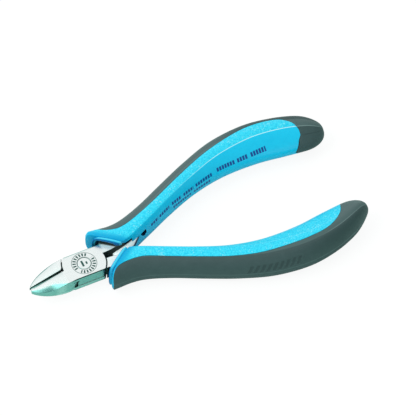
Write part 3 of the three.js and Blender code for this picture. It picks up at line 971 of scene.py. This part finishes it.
def printed_marks(n, place, along, z, colour):
    """Plain rows of printed dashes along the inner face, in place of any lettering."""
    inner = n.times(n.ramp(place, 0.0, 0.01), n.fall(place, 0.3, 0.32))
    total = 0.0
    for start, end, z_start, z_end in PRINT_ROWS:
        slope = (z_end - z_start) / (end - start)
        line = n.math("MULTIPLY_ADD", along, slope, z_start - slope * start)
        across = n.band(n.math("SUBTRACT", z, line), 0.0, PRINT_HALF_HEIGHT, 0.1)
        lengthwise = n.band(along, (start + end) / 2, (end - start) / 2, 0.1)
        dash = n.ramp(n.math("PINGPONG", n.math("SUBTRACT", along, start), PRINT_PITCH / 2), 0.1, 0.2)
        row = n.times(n.times(across, lengthwise), dash)
        total = n.most(total, row)
    mask = n.times(n.times(total, inner), 0.93)
    return n.mix(mask, colour, srgb(10, 44, 132))


def grip_material(name, relief):
    """Soft grey overmoulding with a fine matt grain and, on one handle, a plain row of slanted bars; light
    and shade are painted in as a lighter top face, crease highlights, a sheen strip and shade on the outer
    side, the fold and the bars.
    """
    material, n = new_material(name)
    vector, _, _, z = place_nodes(n)
    place, along = handle_marks(n)
    share = n.size(place)
    fine = n.noise(vector, 4.0, 3.0, 0.65)
    mottle = n.noise(vector, 0.3, 4.0, 0.6)
    colour = n.mix(mottle, srgb(50, 71, 72), srgb(62, 83, 84))
    dust = n.ramp(n.noise(vector, 2.0, 5.0, 0.75), 0.56, 0.84)
    colour = n.tint(colour, dust, 0.25, srgb(120, 142, 140))
    # painted light: the top face is lighter than the sides, on the upper handle only between the creases
    lit_top = n.fall(share, OUTER_CREASE - 0.01, OUTER_CREASE + 0.01)
    if not relief:
        lit_top = n.times(lit_top, n.ramp(share, INNER_CREASE - 0.01, INNER_CREASE))
    colour = n.tint(colour, lit_top, 0.5, srgb(92, 114, 114))
    if relief:
        # painted shade: the outer side of the lower handle's tail is darker
        side_shade = n.ramp(share, OUTER_CREASE, OUTER_CREASE + 0.06)
        side_shade = n.times(side_shade, n.ramp(along, 70, 96))
        colour = n.tint(colour, side_shade, 0.7, srgb(40, 64, 64))
        # painted highlight: a light line along the outer crease of the lower handle's tail
        crease_highlight = n.times(n.band(share, OUTER_CREASE, 0.004, 0.006), n.ramp(along, 84, 94))
    else:
        # painted sheen: the upper handle's outer side is lighter towards the head
        strip = n.times(n.ramp(share, 0.5, 0.56), n.fall(along, 60, 90))
        colour = n.tint(colour, strip, 0.35, srgb(104, 126, 128))
        # painted highlight: a light line along the inner crease of the upper handle's tail
        crease_highlight = n.times(n.band(share, INNER_CREASE, 0.004, 0.004), n.ramp(along, 86, 99))
        # painted shade: a dark line along a fold of the inner face at the tail's end
        fold_shade = n.times(n.band(share, INNER_CREASE * 0.72, 0.006, 0.006), n.ramp(along, 99, 102))
        colour = n.tint(colour, fold_shade, 0.6, srgb(34, 54, 56))
    colour = n.tint(colour, crease_highlight, 0.5, srgb(150, 172, 170))
    height = n.times(fine, 0.4)
    if relief:
        middle = n.math("MULTIPLY_ADD", along, 0.045, RELIEF_MIDDLE_Z - 0.045 * RELIEF_MIDDLE_X)
        up = n.math("SUBTRACT", z, middle)
        slant = n.math("MULTIPLY_ADD", up, -0.5, along)
        inside = n.times(n.band(up, 0.0, RELIEF_HALF_HEIGHT, 0.15),
                        n.band(slant, RELIEF_MIDDLE_X, RELIEF_HALF_LENGTH, 0.2))
        bars = n.ramp(n.math("PINGPONG", slant, RELIEF_PITCH / 2), 0.42, 0.62)
        inside = n.times(n.times(inside, bars), n.ramp(share, 0.6, 0.7))
        height = n.math("SUBTRACT", height, n.times(inside, 4.0))
        # painted shade: the sunk bars are darker inside
        colour = n.tint(colour, inside, 0.6, srgb(36, 54, 56))
    bump = n.add("ShaderNodeBump", {"Height": height, "Strength": 0.4, "Distance": 0.12 * MM})
    shader = n.add("ShaderNodeBsdfPrincipled", {
        "Base Color": colour, "Roughness": 0.6, "Specular IOR Level": 0.35, "Sheen Weight": 0.1,
        "Sheen Roughness": 0.5, "Normal": bump.outputs[0]})
    output(n, shader.outputs[0])
    return material


def steel_material(name, side=0, stamp=False, pin=False, gap_radius=0.0, roughness=0.26, metallic=1.0,
                   glow=0.0):
    """Ground tool steel: grinding lines and broken edges, with painted reflections by facing and on the
    edges, painted shade in the gaps at the joint, and glow as painted light.
    """
    material, n = new_material(name)
    vector, x, y, z = place_nodes(n)
    facing = normal_parts(n)
    stretched = n.add("ShaderNodeMapping", {"Vector": vector, "Scale": (0.22, 5.0, 5.0)}).outputs[0]
    lines = n.noise(stretched, 2.0, 4.0, 0.6)
    cloud = n.noise(vector, 0.4, 3.0, 0.55)
    # painted reflection: faces looking up are near white and the flanks teal, as the white sky above and the
    # teal room in front would be mirrored
    lean = n.size(facing[2])
    upward = n.ramp(lean, 0.92, 0.99)
    flank_reflection = n.mix(cloud, srgb(120, 180, 172), srgb(160, 208, 200))
    face = n.mix(lines, srgb(228, 238, 237), srgb(250, 254, 253))
    colour = face if glow else n.mix(upward, flank_reflection, face)
    if side:
        # painted reflection: the jaws' sloping bevels are tinted teal
        bevel_reflection = n.times(n.fall(lean, 0.92, 0.985), n.ramp(lean, 0.6, 0.8))
        bevel_reflection = n.times(bevel_reflection, n.fall(x, -9.5, -7.5))
        colour = n.tint(colour, bevel_reflection, 0.85, srgb(92, 150, 144))
        # painted highlight: a light upright band on the jaw's flank
        streak_highlight = n.times(n.band(x, -12.0, 1.6, 1.5), n.fall(lean, 0.5, 0.6))
        colour = n.tint(colour, streak_highlight, 0.5, srgb(206, 236, 230))
        # painted reflection: a teal line along the +Y outer edge where the jaw meets the box
        painted_rim = n.times(n.ramp(y, 5.1, 5.35), n.ramp(x, -9.0, -8.6))
        colour = n.tint(colour, painted_rim, 0.7, srgb(120, 188, 178))
    height = n.times(lines, 0.4)
    rough = n.math("MULTIPLY_ADD", lines, 0.14, roughness - 0.07)
    radius = n.math("SQRT", n.math("ADD", n.times(x, x), n.times(y, y)))
    metal = metallic
    if gap_radius:
        metal = n.math("SUBTRACT", 1.0, n.times(n.ramp(x, 8.0, 9.5), 0.7))
        wall = n.fall(lean, 0.2, 0.5)
        depth = n.size(y)
        across = n.times(n.times(x, y), -1.0)
        # painted shade on the walls: the gap round the joint, the slit between the jaws, the slot's pocket,
        # the rear end, the plate's rim and the seam line go near black
        gap = n.times(n.band(radius, gap_radius, 0.16, 0.05), n.ramp(across, 0.0, 0.5))
        slope = (SLIT_SHIFT_THROAT - SLIT_SHIFT_TIP) / (THROAT_X - TIP_X) + math.tan(JAW_TURN)
        middle = SLIT_SHIFT_THROAT + THROAT_X * (math.tan(JAW_TURN) - slope)
        slit_offset = n.math("SUBTRACT", n.math("MULTIPLY_ADD", x, -slope, y), middle)
        slit = n.times(n.band(slit_offset, 0.0, 0.7, 0.05), n.fall(x, -8.6, -8.2))
        pocket = n.times(n.band(x, -5.4, 1.6, 0.1), n.fall(depth, 5.3, 5.38))
        rear = n.ramp(x, 5.6, 6.3)
        painted_rim = n.times(n.ramp(z, 2.75, 2.9), n.ramp(x, -8.5, -5.5))
        seam = n.times(n.band(z, -1.62, 0.16, 0.06), n.ramp(x, -6.1, -5.9))
        painted_shade = gap
        for part in (slit, pocket, rear, painted_rim, seam):
            painted_shade = n.most(painted_shade, part)
        painted_shade = n.times(painted_shade, wall)
        # painted shade on the web's top within the gap
        floor = n.band(radius, 8.3, 0.55, 0.05)
        floor = n.times(floor, n.band(n.size(z), WEB_HALF_HEIGHT, 0.15, 0.05))
        # painted shade: the shank inside the collar's recess goes dark, and its metal is taken off there too
        front = n.math("MULTIPLY_ADD", x, FRONT_NORMAL[0], n.times(depth, FRONT_NORMAL[1]))
        inside = n.ramp(front, FRONT_OFFSETS[side] - 0.1, FRONT_OFFSETS[side] + 0.3)
        metal = n.times(metal, n.math("SUBTRACT", 1.0, inside))
        painted_shade = n.most(n.most(painted_shade, inside), comma_shade(n, x, y, z))
        painted_shade = n.times(n.most(painted_shade, floor), 0.96)
        # painted reflection: the lower plate's flank is lighter
        lower = n.times(wall, n.fall(z, -1.9, -1.7))
        colour = n.tint(colour, lower, 0.5, srgb(206, 240, 232))
        colour = n.mix(painted_shade, colour, srgb(6, 26, 24))
        rough = n.most(rough, n.times(painted_shade, 0.7))
    if stamp or pin:
        colour, height, rough = stamped_ring(n, x, y, radius, facing, colour, height, rough, pin)
    # the bevel node rounds the edges' shading; painted reflection: edges are tinted teal
    edge = n.add("ShaderNodeBevel", {"Radius": 0.28 * MM}, samples=6)
    true_normal = n.add("ShaderNodeNewGeometry").outputs["True Normal"]
    agreement = n.add("ShaderNodeVectorMath", {0: edge.outputs[0], 1: true_normal}, operation="DOT_PRODUCT")
    edge_reflection = n.fall(agreement.outputs["Value"], 0.86, 0.985)
    colour = n.tint(colour, edge_reflection, 0.6, srgb(84, 150, 138))
    bump = n.add("ShaderNodeBump", {"Height": height, "Strength": 0.16, "Distance": 0.05 * MM,
                                    "Normal": edge.outputs[0]})
    # glow: painted light, the piece shines by emission though it is no lamp
    shader = n.add("ShaderNodeBsdfPrincipled", {
        "Base Color": colour, "Metallic": metal, "Roughness": rough, "Normal": bump.outputs[0],
        "Emission Color": colour, "Emission Strength": glow})
    output(n, shader.outputs[0])
    return material


def comma_shade(n, x, y, z):
    """A mask for painted shade inside the comma-shaped notch, as seen from its side."""
    wide = n.math("DIVIDE", n.math("SUBTRACT", x, COMMA_CENTRE_X), COMMA_HALF_WIDTH)
    high = n.math("SUBTRACT", z, COMMA_CENTRE_Z)
    blob = n.fall(n.math("ADD", n.math("POWER", wide, 2.0), n.math("POWER", high, 2.0)), 0.85, 1.1)
    tail = n.band(n.math("MULTIPLY_ADD", z, -0.42, x), -5.33, 0.24, 0.08)
    tail = n.times(tail, n.band(z, 0.45, 1.05, 0.1))
    near = n.fall(y, -5.0, -4.2)
    return n.times(n.most(blob, tail), near)


STAMP_RADIUS = 4.85
STAMP_INNER_RADIUS = 2.82
STAMP_TICK_RADIUS = 3.85
STAMP_TICKS = 21


def stamped_ring(n, x, y, radius, facing, colour, height, rough, pin):
    """A fine circle with plain radial ticks inside it, and two short bars on the pin's end."""
    angle = n.math("ARCTAN2", y, x)
    if pin:
        bar_a = n.times(n.band(x, -0.65, 0.4, 0.06), n.band(y, 0.1, 1.35, 0.08))
        bar_b = n.times(n.band(x, 0.95, 0.36, 0.06), n.band(y, -0.1, 0.6, 0.08))
        mask = n.most(bar_a, bar_b)
    else:
        circle = n.band(radius, STAMP_RADIUS, 0.09, 0.05)
        circle = n.most(circle, n.band(radius, STAMP_INNER_RADIUS, 0.08, 0.05))
        turns = n.times(angle, STAMP_TICKS / (2 * math.pi))
        tick = n.ramp(n.math("PINGPONG", turns, 0.5), 0.2, 0.28)
        tick = n.times(tick, n.band(radius, STAMP_TICK_RADIUS, 0.66, 0.06))
        quiet = n.ramp(n.size(n.math("COSINE", n.math("ADD", angle, 0.95))), 0.2, 0.26)
        mask = n.most(circle, n.times(tick, quiet))
    mask = n.times(mask, n.ramp(facing[2], 0.9, 0.97))
    colour = n.tint(colour, mask, 0.95, srgb(24, 84, 76))
    height = n.math("SUBTRACT", height, n.times(mask, 2.5))
    rough = n.most(rough, n.times(mask, 0.6))
    return colour, height, rough


# ---------------------------------------------------------------- build

BLUE_UPPER = core_material("blue_plastic_upper", 1, printed=True)
BLUE_LOWER = core_material("blue_plastic_lower", -1, printed=False)
GREY_UPPER = grip_material("grey_overmould_upper", relief=False)
GREY_LOWER = grip_material("grey_overmould_lower", relief=True)
STEEL_HEAD = steel_material("ground_steel_stamped", side=1, stamp=True, gap_radius=PLATE_RADIUS)
STEEL_JAW = steel_material("ground_steel", side=-1, gap_radius=SHOULDER_RADIUS)
STEEL_PIN = steel_material("pin_steel", pin=True, roughness=0.3)
# the spring strip glows: painted light
STEEL_SPRING = steel_material("spring_strip", roughness=0.42, metallic=0.2, glow=0.4)


def build_handle(word, side, body, blue, grey):
    core = core_mesh(word + "_core_moulding", side)
    bed = grip_mesh("grip_bed", side, skin=-1.5, bed=GRIP_DEPTH, edge_shift=0.0, rolled=False)
    combine(core, channel_cutters(side) + [("DIFFERENCE", bed)])
    finish_piece(shade(core, 38), word + "_handle_core", blue, body)
    grip = grip_mesh(word + "_grip_moulding", side)
    finish_piece(shade(grip, 50), word + "_handle_grip", grey, body)


def build_leaf(word, side):
    strip = shade(leaf(word + "_leaf_strip", side), 40)
    finish_piece(strip, word + "_leaf_spring", STEEL_SPRING, None)
    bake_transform(strip)


def build_steel():
    finish_piece(shade(slotted_half(), 28), "slotted_half", STEEL_HEAD, "slotted_side")
    finish_piece(shade(inserted_half(), 28), "inserted_half", STEEL_JAW, "inserted_side")
    finish_piece(shade(pin(), 30), "pivot_pin", STEEL_PIN, "slotted_side")


build_steel()
build_handle("upper", 1, "slotted_side", BLUE_UPPER, GREY_UPPER)
build_handle("lower", -1, "inserted_side", BLUE_LOWER, GREY_LOWER)
build_leaf("upper", 1)
build_leaf("lower", -1)


# ---------------------------------------------------------------- stage

VIEW_AZIMUTH = math.radians(-24.8)
VIEW_ELEVATION = math.radians(55.7)
VIEW_DISTANCE = 4.0
VIEW_RIGHT = 0.04695             # the picture's centre, right of and above the head's upper face centre
VIEW_UP = 0.02092
VIEW_HALF_WIDTH = 0.07885


def add_floor():
    """A plain pale floor that looks white to the camera and mid grey in reflections."""
    low = CAD_BOX[0].z
    size = 3.0
    mesh = bpy.data.meshes.new("floor")
    corners = [(-size, -size, low), (size, -size, low), (size, size, low), (-size, size, low)]
    mesh.from_pydata(corners, [], [(0, 1, 2, 3)])
    floor = link("floor", mesh)
    material, n = new_material("floor_white")
    camera_ray = n.add("ShaderNodeLightPath").outputs["Is Camera Ray"]
    seen = n.add("ShaderNodeBsdfDiffuse", {"Color": (0.9, 0.9, 0.9, 1)}).outputs[0]
    glow = n.add("ShaderNodeEmission", {"Color": (1, 1, 1, 1), "Strength": 1.05}).outputs[0]
    lit = n.add("ShaderNodeMixShader", {0: 0.86, 1: seen, 2: glow}).outputs[0]
    hidden = n.add("ShaderNodeBsdfDiffuse", {"Color": (0.58, 0.8, 0.75, 1)}).outputs[0]
    output(n, n.add("ShaderNodeMixShader", {0: camera_ray, 1: hidden, 2: lit}).outputs[0])
    mesh.materials.append(material)


def add_world():
    """A soft studio dome: white above and behind, falling to a green-grey room in front."""
    world = bpy.data.worlds.new("studio")
    bpy.context.scene.world = world
    world.use_nodes = True
    n = Nodes(world.node_tree)
    direction = n.add("ShaderNodeSeparateXYZ", {0: n.add("ShaderNodeTexCoord").outputs["Generated"]})
    rise = n.times(direction.outputs[2], 0.45)
    height = n.math("MULTIPLY_ADD", direction.outputs[1], 0.8, rise)
    sky = n.mix(n.ramp(height, 0.2, 0.8), (0.46, 0.6, 0.58, 1), (1.0, 1.0, 1.0, 1))
    camera_ray = n.add("ShaderNodeLightPath").outputs["Is Camera Ray"]
    colour = n.mix(camera_ray, sky, (1, 1, 1, 1))
    background = n.add("ShaderNodeBackground", {"Color": colour, "Strength": 0.97})
    n.add("ShaderNodeOutputWorld", {"Surface": background.outputs[0]})


def add_light(name, place, target, size, power):
    data = bpy.data.lights.new(name, "AREA")
    data.shape = "DISK"
    data.size = size
    data.energy = power
    light = bpy.data.objects.new(name, data)
    light.location = place
    light.rotation_euler = (Vector(target) - Vector(place)).to_track_quat("-Z", "Y").to_euler()
    bpy.context.scene.collection.objects.link(light)


def add_camera():
    a = VIEW_AZIMUTH
    e = VIEW_ELEVATION
    back = Vector((math.sin(a) * math.cos(e), -math.cos(a) * math.cos(e), math.sin(e)))
    right = Vector((math.cos(a), math.sin(a), 0))
    up = back.cross(right)
    head_top = to_frame(0, 0, HEAD_HALF_THICKNESS)
    target = head_top + right * VIEW_RIGHT + up * VIEW_UP
    data = bpy.data.cameras.new("camera")
    data.sensor_width = 36
    data.lens = data.sensor_width / 2 * VIEW_DISTANCE / VIEW_HALF_WIDTH
    data.clip_start = 0.1
    data.clip_end = 20
    camera = bpy.data.objects.new("camera", data)
    camera.location = target + back * VIEW_DISTANCE
    camera.rotation_mode = "QUATERNION"
    camera.rotation_quaternion = back.to_track_quat("Z", "Y")
    bpy.context.scene.collection.objects.link(camera)
    bpy.context.scene.camera = camera


add_floor()
add_world()
CENTRE = (CAD_BOX[0] + CAD_BOX[1]) / 2
add_light("key_light", CENTRE + Vector((-0.45, 0.06, 0.58)), CENTRE, 0.5, 2.5)
add_light("front_light", CENTRE + Vector((-0.1, -0.65, 0.3)), CENTRE, 0.5, 0.6)
add_camera()

bpy.context.scene.view_settings.view_transform = "Standard"
